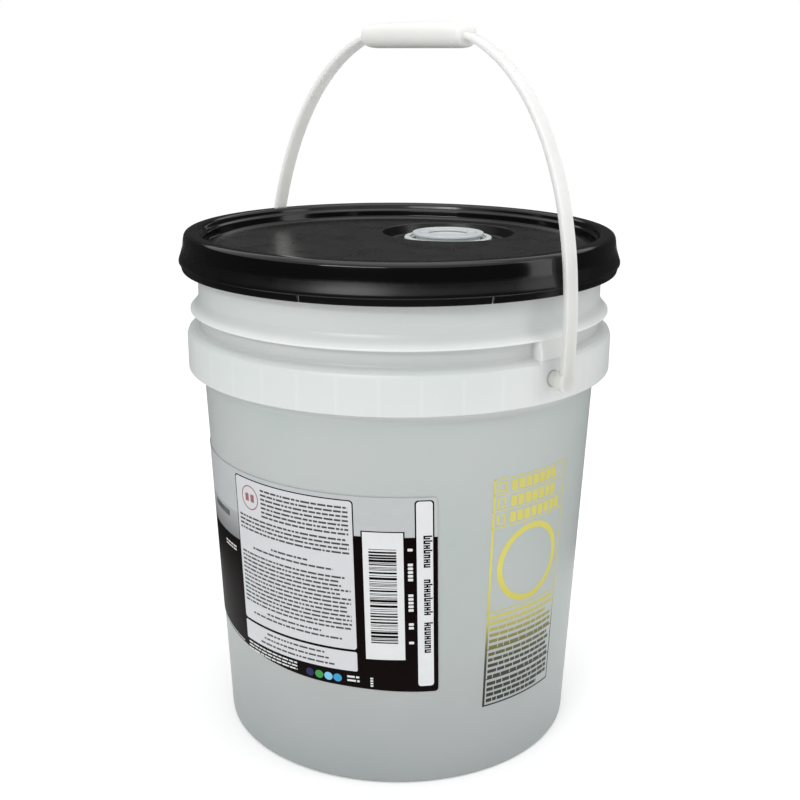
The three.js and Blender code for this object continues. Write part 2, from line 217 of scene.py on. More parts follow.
def fins(name, angles, thickness, levels):
    """Upright plates that point at the axis. Each level is (inner radius, outer radius, z)."""
    points, faces = [], []
    for angle in map(math.radians, angles):
        along = Vector((math.cos(angle), math.sin(angle)))
        across = Vector((-math.sin(angle), math.cos(angle)))
        base = len(points)
        for inner, outer, z in levels:
            for radius in (inner, outer):
                for side in (-0.5, 0.5):
                    spot = along * radius + across * side * thickness
                    points.append((spot.x, spot.y, z))
        faces += [tuple(base + k for k in side) for side in (
            (0, 1, 3, 2), (4, 6, 7, 5), (0, 4, 5, 1), (2, 3, 7, 6), (0, 2, 6, 4), (1, 5, 7, 3))]
    return mesh_object(name, points, faces)


def tube_faces(rings, sides):
    """Faces between rings of points that follow each other, and one over each end."""
    faces = []
    for i in range(0, (rings - 1) * sides, sides):
        for k in range(sides):
            following = (k + 1) % sides
            faces.append((i + k, i + following, i + sides + following, i + sides + k))
    return faces + [tuple(range(sides)), tuple(range((rings - 1) * sides, rings * sides))]


# %% [markdown]
# ## The pail's mouldings
#
# The pail is one moulding: a foot ring, a wall with a slight taper, a band that hangs from the wall
# like a skirt, a thin ring above it and a neck with a snap bead under the lid. Two ears bridge the
# band and the ring. The section is written once as a closed loop and once more as it runs through
# an ear, with the same number of corners, so that the loft can step from one to the other. Each ear's
# pin hole has a shallow socket round it.

# %% Sizes of the pail, in millimetres
foot_radius, neck_radius, neck_start = 129.4, 143.4, 314.0
rim_height, wall, base_height = 363.0, 2.2, 4.0
bead_radius = neck_radius + 4.2
band_radius, band_bottom, band_top, band_wall = 152.0, 272.0, 297.0, 2.2
ring_radius, ring_bottom, ring_top = 149.3, 312.8, 314.1
ear_from, ear_to, ear_face_top, ear_wall = -4.1, 9.0, 309.5, 2.4
hinge_height, socket_radius, socket_depth, ear_hole = 288.0, 5.5, 0.4, 4.3
ear_recess = 1.2
ear_back = band_radius - ear_recess - ear_wall


def wall_outer(z):
    """Outside radius of the tapered wall."""
    return foot_radius + (neck_radius - foot_radius) / neck_start * min(z, neck_start)


def wall_inner(z):
    """Inside radius of the tapered wall."""
    return wall_outer(z) - wall


# %% The pail's section, plain and through an ear
def pail_section(padded, pocketed):
    """The closed section. padded takes the ear's face, and pocketed the hollow behind it."""
    floor = base_height + wall
    inside = [
        (0, floor), (wall_inner(floor), floor, 7), (wall_inner(neck_start), neck_start, 3),
        (neck_radius - wall, rim_height, 0.8),
    ]
    neck = [
        (bead_radius, rim_height, 1.8), (bead_radius, 353.3, 1.2), (neck_radius, 351.9, 0.8),
        (neck_radius, 327),
    ]
    face = [
        (neck_radius, ring_top + 7.8, 1.5), (neck_radius + 1.6, ring_top + 5.0, 1.5),
        (ring_radius - 2.2, ring_top + 2.3, 1.2), (ring_radius, ring_top, 0.35),
        (ring_radius, ring_bottom, 0.45),
    ]
    if padded:
        face += [
            (ring_radius + 0.4, ring_bottom - 1.8, 0.6), (ring_radius + 1.2, ring_bottom - 6.0, 1.6),
            (band_radius - 0.5, ring_bottom - 10.4, 1.6), (band_radius - 0.1, band_top + 1.8),
            (band_radius, band_top - 1.2),
        ]
    else:
        face += [
            (neck_radius + 0.2, ring_bottom + 1.6, 0.6), (wall_outer(band_top + 4.2), band_top + 4.2, 1.6),
            (band_radius - 3.8, band_top + 3.2, 1.6), (band_radius - 0.9, band_top + 1.3),
            (band_radius, band_top - 1.2),
        ]
    skirt = [(band_radius, band_bottom, 0.9)]
    if pocketed:
        behind = [
            (ear_back, band_bottom, 0.5), (ear_back, ear_face_top - ear_wall, 1),
            (ear_back - 2.2, 311.6), (wall_outer(314.4), 314.4, 0.5),
        ]
    else:
        behind = [
            (band_radius - band_wall, band_bottom, 0.5), (band_radius - band_wall, band_top - 2, 1),
            (band_radius - band_wall - 2, band_top + 0.8), (wall_outer(298.8), 298.8, 0.8),
        ]
    foot = [
        (wall_outer(150), 150), (wall_outer(0), 0, 4.2), (foot_radius - 4.5, 0, 0.6),
        (foot_radius - 6.4, base_height, 0.8), (0, base_height),
    ]
    return soften(inside + neck + face + skirt + behind + foot)


def between(first, second, share):
    """A section part of the way from one to another."""
    return [(a + (c - a) * share, b + (d - b) * share) for (a, b), (c, d) in zip(first, second)]


# %% Turn the pail
plain, padded, pocketed = pail_section(0, 0), pail_section(1, 0), pail_section(1, 1)
side_angle = math.degrees(ear_wall / band_radius)
edge_steps = [(0.0, 0.0), (0.1, 0.3), (0.22, 0.6), (0.36, 0.82), (0.55, 0.95), (0.75, 1.0)]
columns = []
for turned in (0, 180):
    start, end = ear_from + turned, ear_to + turned
    columns += [(start + da, between(plain, padded, share)) for da, share in edge_steps]
    columns += [(start + side_angle, padded)]
    inner = np.linspace(start + side_angle + 0.01, end - side_angle - 0.01, 34)
    columns += [(angle, pocketed) for angle in inner]
    columns += [(end - side_angle, padded)]
    columns += [(end - da, between(plain, padded, share)) for da, share in reversed(edge_steps)]
    columns += [(angle, plain) for angle in np.arange(end + 1, start + 179.5, 1.0)]
pail_body = loft("pail_moulding", columns, closed_section=False)
sockets = []
for side in (1, -1):
    for name, radius, inside, sides in (
        ("socket", socket_radius, band_radius - socket_depth, 64), ("pin_hole", ear_hole, ear_back - 2, 48),
    ):
        start, end = sorted((side * inside, side * (band_radius + 3)))
        sockets.append(drum(name, radius, start, end, (0, 0, hinge_height), "X", sides))
combine(pail_body, sockets, "DIFFERENCE")
print("pail:", len(pail_body.data.polygons), "faces")

# %% [markdown]
# Thin upright ribs stiffen the band from behind. They are flat plates that reach from the wall to
# the back of the band, and show only from below and as faint lines through the milky band.

# %% Ribs behind the band
rib_count, rib_thickness, rib_outer = 36, 1.6, band_radius - band_wall + 0.4
ribs = fins("band_ribs", [360 / rib_count * (i + 0.5) for i in range(rib_count)], rib_thickness, [
    (wall_outer(band_bottom) - 1, rib_outer, band_bottom + 3),
    (wall_outer(band_top) - 1, rib_outer, band_top + 1),
])
print("ribs:", rib_count)

# %% [markdown]
# ## The lid
#
# The lid is a second turned moulding. Its crest is rounded, its skirt has a waist and a bead, and
# its panel lies sunk inside the rim so that the next pail can stand in it. The spout's well is off
# centre, so it can't be part of the turned section. A cylinder cuts the panel open there, and a
# turned well is joined in.

# %% Sizes of the lid and its place for the spout
lid_top, lid_wall, crest_inner, crest_outer = 367.5, 2.2, 142.8, 149.4
skirt_bottom, skirt_radius, skirt_waist = 341.5, 156.1, 153.3
panel_height, panel_radius = 355.0, 133.5
spout_angle, spout_offset = math.radians(111), 78.0
spout_at = (spout_offset * math.cos(spout_angle), spout_offset * math.sin(spout_angle))
well_radius, well_floor, well_slant = 50.6, 347.0, 2.6
boss_radius, boss_top, boss_wall = 30.6, 349.2, 2.0

# %% Turn the lid
plug_outer = neck_radius - wall - 0.4
recess = plug_outer - lid_wall
plug_bottom, channel_top, snap = rim_height - 12, lid_top - lid_wall, bead_radius + 0.4
bead_line, waist_height = skirt_bottom + 6.9, panel_height + 2.4
lid_section = soften([
    (0, panel_height), (panel_radius, panel_height, 1.2), (panel_radius + 2.8, panel_height + 1, 1.2),
    (recess - 0.7, panel_height + 2.6, 1.4), (recess, lid_top - 5.2, 0.8), (recess + 1.8, lid_top - 4.2, 0.8),
    (recess + 2.6, lid_top - 1.2, 1.2), (crest_inner, lid_top, 2.2), (crest_outer, lid_top, 2.2),
    (crest_outer + 2.4, lid_top - 1.6, 1.6), (crest_outer + 3.1, lid_top - 4.4, 1.6),
    (skirt_waist, waist_height, 2), (skirt_waist + 1.2, waist_height - 4.6, 2),
    (skirt_radius, bead_line, 1.0), (skirt_radius, bead_line - 1.5, 0.6),
    (skirt_radius - 0.9, bead_line - 2.1, 0.4), (skirt_radius - 2.1, skirt_bottom, 0.7),
    (skirt_radius - 4.4, skirt_bottom, 0.5), (skirt_radius - 2.7, bead_line - 1.5),
    (skirt_radius - 3.6, bead_line + 1.8), (snap, bead_line + 2.6, 0.5), (snap, bead_line + 3.8, 0.5),
    (crest_outer + 1.2, waist_height), (crest_outer + 0.4, channel_top - 1.2),
    (crest_outer - 0.6, channel_top), (crest_inner, channel_top), (plug_outer, channel_top - 2),
    (plug_outer, plug_bottom + 2), (plug_outer - 1.2, plug_bottom), (recess - 0.8, plug_bottom),
    (panel_radius + 1.8, panel_height - lid_wall), (0, panel_height - lid_wall),
])
lid = turn("lid_moulding", lid_section, 300)
well_edge = well_radius - well_slant
well = turn("well", soften([
    (boss_radius - boss_wall, well_floor - lid_wall), (well_edge, well_floor - lid_wall),
    (well_radius + 1.6, panel_height - 1.4), (well_radius + 1.6, panel_height, 0.01),
    (well_radius, panel_height, 1.0), (well_edge, well_floor, 1.4), (boss_radius, well_floor, 0.8),
    (boss_radius, boss_top, 0.4), (boss_radius - boss_wall, boss_top, 0.4),
]), 144, spout_at)
hole = drum("hole", well_radius + 0.9, 340, 356, (*spout_at, 0), "Z", 144)
combine(lid, [hole], "DIFFERENCE")
combine(lid, [well], "UNION")

# %% Tear slots in the skirt
slot_count, slot_width, slot_height, slot_start = 8, 1.4, 4.6, -18.7
slots = fins("slots", [slot_start + 360 / slot_count * i for i in range(slot_count)], slot_width, [
    (skirt_waist - 3, skirt_radius + 1, z) for z in (skirt_bottom - 1, skirt_bottom + slot_height)
])
combine(lid, [slots], "DIFFERENCE")
print("lid:", len(lid.data.polygons), "faces")

# %% [markdown]
# ## The spout, its ring and its cap
#
# The spout is folded down in its well, under a screw cap. A pale ring clips over the lid's neck and
# holds it. On the cap lie two half rings, which stand up to be pulled. When they are, the soft wall
# of the spout unrolls. So the wall and the neck are two pieces here: the wall stays in place with no
# body of its own, and the neck rides with the spout.

# %% Turn the ring and the cap
flange_bottom = boss_top + 0.3
flange_top = flange_bottom + 0.9
neck_outer, neck_top, spout_depth, spout_wall = 22.0, 351.3, 12.7, 1.3
cap_top, cap_radius, tab_recess = 355.0, 27.4, 22.0
ring_inside, ring_lip, lock_radius = boss_radius + 0.4, flange_top + 0.3, 33.7
spout_ring = turn("spout_retainer", soften([
    (ring_inside, well_floor + 0.3), (lock_radius, well_floor + 0.3, 0.4), (lock_radius, ring_lip + 0.9, 0.9),
    (ring_inside - 1.6, ring_lip + 0.9, 0.4), (ring_inside - 1.6, ring_lip), (ring_inside, ring_lip),
]), 144, spout_at)
skirt_inner, recess_floor = neck_outer + 0.4, neck_top + 0.4 + 1.1
cap = turn("screw_cap", soften([
    (0, neck_top + 0.4), (skirt_inner, neck_top + 0.4), (skirt_inner, neck_top - 10),
    (skirt_inner + 2.6, neck_top - 10, 0.4), (skirt_inner + 2.6, cap_top - 2),
    (cap_radius, cap_top - 2, 0.4), (cap_radius, cap_top, 0.8), (tab_recess, cap_top, 0.4),
    (tab_recess, recess_floor, 0.4), (0, recess_floor),
]), 144, spout_at)

# %% Turn the spout's wall and neck
fold_bottom = flange_bottom - spout_depth
spout_outer, neck_inner, seal_top = boss_radius - boss_wall - 0.3, neck_outer - 1.6, neck_top - 1.9
spout_wall_piece = turn("spout_wall", soften([
    (neck_outer + 0.8, fold_bottom + spout_wall + 0.3), (neck_outer, fold_bottom + 2.4),
    (neck_inner + 0.2, fold_bottom + 2.4), (neck_inner + 0.2, fold_bottom + 1, 0.4),
    (neck_inner + 1.4, fold_bottom, 0.6), (spout_outer - 2, fold_bottom, 0.6),
    (spout_outer - 0.7, fold_bottom + 1.6, 0.6),
    (spout_outer, flange_bottom), (boss_radius - 0.3, flange_bottom), (boss_radius - 0.3, flange_top, 0.2),
    (spout_outer - 0.6, flange_top, 0.2), (spout_outer - spout_wall, flange_bottom, 0.4),
    (spout_outer - spout_wall - 0.6, fold_bottom + 2.4, 0.6),
]), 96, spout_at)
neck_corners = [
    (0, seal_top - 1), (neck_inner, seal_top - 1), (neck_inner, fold_bottom + 2.4),
    (neck_outer, fold_bottom + 2.4),
]
for thread in range(3):
    z = neck_top - 8.2 + 2.6 * thread
    neck_corners += [(neck_outer, z - 0.9), (neck_outer + 0.25, z), (neck_outer, z + 0.9)]
neck_corners += [
    (neck_outer, neck_top, 0.3), (neck_inner, neck_top, 0.3), (neck_inner, seal_top, 0.3), (0, seal_top),
]
spout_neck = turn("spout_neck", soften(neck_corners), 96, spout_at)
print("spout:", len(spout_wall_piece.data.polygons) + len(spout_neck.data.polygons), "faces")

# %% [markdown]
# A pull ring lies on the seal under the cap, and the two pull tabs lie flat in the cap's recess. The
# tabs are cut from a flat ring along their hinge line. A bevel gives them moulded edges.

# %% Pull ring and pull tabs
pull_radius, wire, wire_sides = 9, 0.7, 12
wire_turns = [2 * math.pi * k / wire_sides for k in range(wire_sides)]
pull_ring = turn("seal_pull_ring", [
    (pull_radius + wire * math.cos(a), seal_top + 0.56 + wire * math.sin(a)) for a in wire_turns
], 48, spout_at)
tab_outer, tab_inner, tab_pivot = tab_recess - 0.4, tab_recess - 6.4, 1.6
tab_top, tab_thickness = cap_top - 0.2, 1.6


def pull_tab(name, turned):
    """One half ring on the far side of its hinge line, turned about the cap's middle."""
    outline = []
    for radius, flip in ((tab_outer, False), (tab_inner, True)):
        first = math.asin(tab_pivot / radius)
        angles = np.linspace(first, math.pi - first, 48)
        outline += [(radius * math.cos(a), radius * math.sin(a)) for a in (angles[::-1] if flip else angles)]
    c, s = math.cos(math.radians(turned)), math.sin(math.radians(turned))
    points, half = [], len(outline) // 2
    for z in (tab_top - tab_thickness, tab_top):
        points += [(spout_at[0] + x * c - y * s, spout_at[1] + x * s + y * c, z) for x, y in outline]
    total, faces = 2 * half, []
    for k in range(half - 1):
        a, b, d, e = k, k + 1, total - 2 - k, total - 1 - k
        faces += [(a, b, d, e), (total + a, total + e, total + d, total + b)]
    faces += [(k, (k + 1) % total, total + (k + 1) % total, total + k) for k in range(total)]
    obj = mesh_object(name, points, faces)
    bevel = obj.modifiers.new("edges", "BEVEL")
    bevel.width, bevel.segments = 0.3 * MM, 3
    bevel.limit_method, bevel.angle_limit = "ANGLE", math.radians(50)
    return obj


tab_rear, tab_front = pull_tab("pull_tab_back", 49), pull_tab("pull_tab_fore", 229)

# %% [markdown]
# ## The bail
#
# The handle is one white moulding: a flat strap bent in an arch, a fat grip at the top and a round
# knob with a snap pin at each ear. The strap is a rounded rectangle carried along the arch, with
# its ends cut round like the knobs. It leans back a little, as it does in the picture.

# %% Sizes of the bail
arch_half, arch_rise, arch_power, lean = 163.5, 218.0, 2.3, 4.0
strap_width, strap_thickness, strap_round = 10.2, 4.2, 0.9
knob_radius, knob_depth, shaft_radius = 7.2, 6.6, 5.0
grip_length, grip_width, grip_height, grip_axis, grip_crown = 103.0, 20.0, 17.6, 211.6, 1.5


def arch(t):
    """The strap's middle line, with its flat top inside the grip."""
    angle, power = math.pi * t, 2 / arch_power
    x = arch_half * math.copysign(abs(math.cos(angle)) ** power, math.cos(angle))
    return x, min(arch_rise * math.sin(angle) ** power, grip_axis - 1.2)


def strap_outline(half_width, half_thickness, corner, steps=4):
    """Rounded rectangle across the strap, as (across, through) points."""
    points = []
    for sx, sy, first in ((1, 1, 0), (-1, 1, 90), (-1, -1, 180), (1, -1, 270)):
        for k in range(steps + 1):
            a = math.radians(first + 90 * k / steps)
            across = sx * (half_width - corner) + corner * math.cos(a)
            through = sy * (half_thickness - corner) + corner * math.sin(a)
            points.append((across, through))
    return points


# %% Carry the strap along the arch
path = []
for i in range(13):
    z = -knob_radius + 0.35 + i * knob_radius / 13
    path.append((arch_half, z, min(strap_width / 2, math.sqrt(max(0.3, knob_radius ** 2 - z ** 2)))))
steps, middle = 150, []
for i in range(steps):
    along = 0.5 - 0.5 * math.cos(math.pi * (i + 0.5) / steps) * 0.999
    middle.append((*arch(along), strap_width / 2))
path = path + middle + [(-x, z, w) for x, z, w in reversed(path)]
points = []
for i, (x, z, half_width) in enumerate(path):
    before, after = path[max(0, i - 1)], path[min(len(path) - 1, i + 1)]
    run = Vector((after[0] - before[0], after[1] - before[1])).normalized()
    for across, through in strap_outline(half_width, strap_thickness / 2, min(strap_round, 0.7 * half_width)):
        points.append((x + run.y * through, across, hinge_height + z - run.x * through))
bail = mesh_object("bail_moulding", points, tube_faces(len(path), len(points) // len(path)))

# %% The grip
def squarish(value):
    """Pushes a sine or a cosine outward, which squares a round section up a little."""
    return math.copysign(abs(value) ** 0.8, value)


points, sides = [], 48
stations = [(0, 2.6), (0.5, 1.7), (1.4, 1.0), (3.2, 0.45), (5.4, 0.15), (8, 0), (20, 0), (34, 0)]
profile = [(-grip_length / 2 + a, b) for a, b in stations]
profile += [(grip_length / 2 - a, b) for a, b in reversed(stations)]
for x, inset in profile:
    for k in range(sides):
        angle = 2 * math.pi * k / sides
        across, up = squarish(math.cos(angle)), squarish(math.sin(angle))
        fall = grip_crown * (2 * x / grip_length) ** 2 * max(0, up)
        z = hinge_height + grip_axis + (grip_height / 2 - inset) * up - fall
        points.append((x, (grip_width / 2 - inset) * across, z))
grip = mesh_object("grip", points, tube_faces(len(profile), sides))

# %% The pins, and the lean of the whole bail
pin_gap, head_radius, head_depth = 0.4, 5.7, 2.6
knob_back, knob_front = band_radius - socket_depth + pin_gap, arch_half + strap_thickness / 2
head_front, pin_radius = ear_back - pin_gap, ear_hole - pin_gap
pin_section = soften([
    (0, head_front - head_depth), (pin_radius, head_front - head_depth, 0.3),
    (head_radius, head_front - 0.8, 0.3), (head_radius, head_front, 0.2), (pin_radius, head_front),
    (pin_radius, knob_back), (shaft_radius, knob_back, 0.3),
    (shaft_radius, knob_front - knob_depth - 0.4, 0.5), (knob_radius, knob_front - knob_depth, 2.0),
    (knob_radius, knob_front, 1.8), (0, knob_front),
])
pins = []
for side in (1, -1):
    pin = turn("pin", pin_section, 64)
    pin.data.transform(Matrix.Rotation(math.radians(90 * side), 4, "Y"))
    pin.location.z = hinge_height * MM
    pins.append(pin)
combine(bail, [grip, *pins], "UNION")
pivot = Vector((0, 0, hinge_height * MM))
leaning = Matrix.Rotation(math.radians(-lean), 4, "X")
bail.data.transform(Matrix.Translation(pivot) @ leaning @ Matrix.Translation(-pivot))
print("bail:", len(bail.data.polygons), "faces")

# %% [markdown]
# ## The printed label
#
# The label is a film of about a quarter of a millimetre. Its ground has a pale zone, a silver band
# and a near-black field, and white panels sit on that. Everything printed is drawn as plain bars and
# blocks. A painted image would need a picture, so each field is a thin plate instead: an outline in
# flat coordinates, cut into narrow strips, wrapped round the wall and given a little thickness.

# %% Flat outlines
def block(left, right, low, high, corner=0.0, steps=5):
    """Rounded rectangle. Plan angles in degrees across, millimetres up."""
    if corner == 0:
        return [(left, low), (right, low), (right, high), (left, high)]
    wide = math.degrees(corner / wall_outer((low + high) / 2))
    near, far, under, over = left + wide, right - wide, low + corner, high - corner
    points = []
    for x, z, first in ((far, over, 0), (near, over, 90), (near, under, 180), (far, under, 270)):
        for k in range(steps + 1):
            a = math.radians(first + 90 * k / steps)
            points.append((x + wide * math.cos(a), z + corner * math.sin(a)))
    return points


def disc(angle, z, radius, sides=32):
    """A circle that stays round on the wall."""
    wide = math.degrees(radius / wall_outer(z))
    turns = [2 * math.pi * k / sides for k in range(sides)]
    return [(angle + wide * math.cos(a), z + radius * math.sin(a)) for a in turns]


def hoop(angle, z, outer, inner, sides=64):
    """A ring as two half outlines."""
    halves = []
    for first in (90, 270):
        half = []
        for radius, order in ((outer, 1), (inner, -1)):
            wide = math.degrees(radius / wall_outer(z))
            turns = [math.radians(first + 180 * k / (sides // 2)) for k in range(sides // 2 + 1)][::order]
            half += [(angle + wide * math.cos(a), z + radius * math.sin(a)) for a in turns]
        halves.append(half)
    return halves


film_turn = 0.7


def lean_of(angle, z):
    """The film leans a little towards its right end, because a straight sheet wraps a tapered wall."""
    return angle + film_turn + 1.75 * max(0.0, (angle + 94) / 63.4) * (214.8 - z) / 142.4


def plates(name, outlines, lift, thickness=0.12, shift=lean_of, strip=2.0):
    """Thin plates on the wall over flat outlines, with their outer face that far off the wall."""
    work = bmesh.new()
    for outline in outlines:
        work.faces.new([work.verts.new((x, z, 0)) for x, z in outline])
    low, high = min(v.co.x for v in work.verts), max(v.co.x for v in work.verts)
    for cut in np.arange(math.ceil(low / strip) * strip, high, strip):
        parts = work.verts[:] + work.edges[:] + work.faces[:]
        bmesh.ops.bisect_plane(work, geom=parts, plane_co=(cut, 0, 0), plane_no=(1, 0, 0))
    points, faces, count = [], [], len(work.verts)
    work.verts.index_update()
    for offset in (lift, lift - thickness):
        for vertex in work.verts:
            angle, z = math.radians(shift(vertex.co.x, vertex.co.y)), vertex.co.y
            radius = wall_outer(z) + offset
            points.append((radius * math.cos(angle), radius * math.sin(angle), z))
    for face in work.faces:
        faces += [tuple(v.index for v in face.verts), tuple(v.index + count for v in reversed(face.verts))]
    for edge in work.edges:
        if len(edge.link_faces) == 1:
            a, b = (v.index for v in edge.verts)
            faces.append((a, b, b + count, a + count))
    work.free()
    return mesh_object(name, points, faces, weld=False, angle=40)


def lines_of_print(left, right, top, bottom, pitch, weight, seed, ragged=0.25, word=(0.6, 2.8), gap=0.36):
    """Rows of short bars, as print looks from too far to read."""
    draw, outlines, z = random.Random(seed), [], top
    while z > bottom:
        x, end = left, right - draw.random() * ragged * (right - left) * (draw.random() < 0.3)
        while x < end:
            step = draw.uniform(*word)
            outlines.append(block(x, min(x + step, end), z - pitch * weight, z))
            x += step + gap
        z -= pitch
    return outlines


# %% The film and its three grounds
label_from, label_to, label_bottom, label_top = -179.3, -30.6, 72.4, 214.8
film_lift, film, film_corner = 0.55, 0.25, 2.4


def ease(x, start, end):
    """0 before start, 1 after end, smooth between."""
    t = min(1.0, max(0.0, (x - start) / (end - start)))
    return t * t * (3 - 2 * t)


def low_edge(angle):
    """Lower edge of the film, which rises to the left."""
    return label_bottom + 2.6 * ease(-angle, 30, 62) + 8.6 * ease(-angle, 60, 122) + rounding(angle)


def dark_edge(angle):
    """Top of the near-black field."""
    return 187.0 - 25.5 * ease(-angle, 54, 96)


def pale_edge(angle):
    """Top of the silver band, where the pale field starts."""
    return dark_edge(angle) + max(0.4, 20.5 * ease(-angle, 58, 92))


def rounding(angle):
    """How far the film's rounded right corners cut into its upper and lower edge."""
    inward = min(film_corner, (label_to - angle) * 2.4)
    return film_corner - math.sqrt(film_corner ** 2 - (film_corner - inward) ** 2)


def wrapped(name, low, high):
    """A part of the film between two edges, as one closed shell."""
    angles = [*np.arange(label_from, label_to - 1.5, 1.5), *np.linspace(label_to - 1.2, label_to, 7)]
    points, back = [], film_lift - film
    for angle in angles:
        for edge, offset in ((low, film_lift), (high, film_lift), (high, back), (low, back)):
            z = edge(angle)
            turned, radius = math.radians(lean_of(angle, z)), wall_outer(z) + offset
            points.append((radius * math.cos(turned), radius * math.sin(turned), z))
    return mesh_object(name, points, tube_faces(len(points) // 4, 4))


film_dark = wrapped("label_dark_field", low_edge, dark_edge)
film_silver = wrapped("label_silver_band", dark_edge, pale_edge)
film_pale = wrapped("label_pale_field", pale_edge, lambda angle: label_top - rounding(angle))
on_film, on_outline, on_panel = film_lift + 0.03, film_lift + 0.06, film_lift + 0.09

# %% White panels with thin dark outlines
outline_dark = plates("label_outlines", [
    block(-94.1, -53.1, 86.0, 211.8, 2.6), block(-51.3, -39.5, 96.6, 191.2),
    block(-36.75, -31.5, 76.2, 213.0, 2.4),
], on_film)
panels_text = plates("label_text_panels", [
    block(-93.75, -53.45, 103.4, 211.0, 2.2), block(-93.75, -53.45, 86.9, 101.6, 1.2),
], on_outline)
panels_white = plates("label_panels", [
    block(-50.9, -39.9, 97.4, 190.4), block(-36.35, -31.9, 77.0, 212.2, 2.1),
], on_outline)

# %% Rows of print on the panels
row_pitch, row_weight, panel_middle = 3.1, 0.43, -73.4
rows = lines_of_print(-82.6, -54.6, 206.9, 187.0, row_pitch, row_weight, 3, 0)
rows += lines_of_print(-92.6, -54.6, 184.0, 171.8, row_pitch, row_weight, 4, 0.1)
rows += lines_of_print(-92.6, -54.6, 156.6, 118.6, row_pitch, row_weight, 7, 0.1)
centred = [
    (12.5, 165.6), (27.7, 161.8), (19.0, 114.9), (31.5, 111.2), (20.4, 98.9), (23.0, 94.9), (26.3, 90.9),
]
for index, (width, top) in enumerate(centred):
    left, right = panel_middle - width / 2, panel_middle + width / 2
    rows += lines_of_print(left, right, top, top - 1, row_pitch, row_weight, 40 + index, 0)
print_rows = plates("label_print_rows", rows, on_panel)
title_bars = lines_of_print(-112.0, -99.8, 179.4, 176.0, 5.0, 0.9, 17, 0, (0.6, 1.5), 0.35)
title = plates("label_title", title_bars, on_film)

# %% Upright bars, strip and sign
draw = random.Random(21)
bars, z = [], 178.6
while z > 110:
    thick = draw.choice((0.45, 0.45, 0.9, 1.3, 1.8))
    bars.append(block(-49.3, -41.8, z - thick, z))
    z -= thick + draw.choice((0.5, 0.5, 0.9, 1.2))
bars_dark = plates("label_bars", bars, on_panel)
letters, stroke, opening = [], 1.05, 0.6
for top, bottom in ((188.2, 164.0), (156.8, 130.0), (125.1, 101.4)):
    z = top
    while z > bottom + stroke:
        tall = draw.random() < 0.3
        letters.append(block(-34.5, -32.1 if tall else -32.7, z - stroke, z))
        letters.append(block(-34.5, -32.7, z - 2 * stroke - opening, z - stroke - opening))
        side = draw.choice((-34.5, -33.8, -33.2))
        letters.append(block(side, side + 0.5, z - stroke - opening, z - stroke))
        z -= 2 * stroke + 2.1 * opening
letters_dark = plates("label_strip_print", letters, on_panel)
symbol_rim = plates("label_symbol_rim", hoop(-87.3, 198.0, 8.8, 8.0), on_panel)
symbol_core = plates("label_symbol_core", [
    block(left, left + 1.5, 195.2, 200.8, 0.5) for left in (-89.2, -86.9)
], on_panel)

# %% Small print and dots on the dark field
small = lines_of_print(-93.0, -72.5, 84.9, 78.8, 2.5, 0.45, 14, 0)
small += lines_of_print(-56.6, -53.0, 83.2, 77.6, 2.9, 0.5, 15, 0)
small += lines_of_print(-104.3, -96.8, 154.6, 150.4, 2.4, 0.5, 16, 0)
for top, count in ((179.3, 1), (168.6, 5), (146.3, 5), (125.0, 2), (111.2, 1)):
    small += [block(-38.8, -37.4, top - 2.7 * k - 1.9, top - 2.7 * k, 0.5) for k in range(count)]
small += [block(-49.9, -49.1, 76.2 + 1.9 * k, 77.4 + 1.9 * k) for k in range(4)]
small_white = plates("label_small_print", small, on_film)
curve = []
for start in np.arange(-120, -97, 1.5):
    here, there = low_edge(start) + 1.0, low_edge(start + 1.5) + 1.0
    curve.append([(start, here), (start + 1.5, there), (start + 1.5, there + 0.7), (start, here + 0.7)])
curve_white = plates("label_curve", curve, on_film)
dots = []
for index, angle in enumerate((-68.2, -65.2, -62.3, -59.5)):
    dots.append(plates(f"label_dot_{index + 1}", [disc(angle, 80.3, 3.0)], on_film))
print("label rows:", len(rows), "bars:", len(bars))

# %% [markdown]
# ## The ink on the wall
#
# Under the right ear the wall is printed in one colour that runs from yellow to near black. The
# same plates serve, thinner and without the film. A plain ring and rows of bars fill the panel.

# %% Wall print
def upright(angle, z):
    """The wall's print follows the wall's own upright lines."""
    return angle + film_turn


left, right, low, high = -14.5, 14.0, 52.6, 222.2
ink = [
    block(left, left + 0.75, low, high), block(right - 0.4, right, low, high),
    block(left, right, high - 0.8, high), block(left, right, low, low + 1.2),
]
for z in (210.8, 199.2, 187.4, 125.2, 96.8, 73.8):
    ink.append(block(left, right, z - 0.4, z + 0.4))
for index, z in enumerate((212.3, 200.8, 189.2)):
    ink += [block(-8.6 + 2.6 * k, -6.5 + 2.6 * k, z, z + 7.6, 0.5) for k in range(7 + (index == 2))]
    ink += [block(-13.0, -10.2, z + 0.3, z + 1.3), block(-13.0, -10.2, z + 6.2, z + 7.2)]
    ink += [block(-13.0, -12.4, z + 1.3, z + 6.2), block(-10.8, -10.2, z + 1.3, z + 6.2)]
ink += hoop(0, 156.2, 28.6, 24.2)
ink += lines_of_print(-13.3, 12.6, 122.6, 99.0, 4.6, 0.52, 31, 0.6, (1.6, 3.6), 0.3)
ink += lines_of_print(-13.3, 12.6, 94.2, 76.0, 4.4, 0.56, 32, 0.6, (1.6, 3.6), 0.3)
ink += lines_of_print(-13.3, 12.6, 71.2, 56.0, 4.3, 0.62, 33, 0.6, (1.4, 3.4), 0.3)
wall_ink = plates("wall_print", ink, 0.05, 0.09, upright)
print("wall print:", len(ink), "fields")
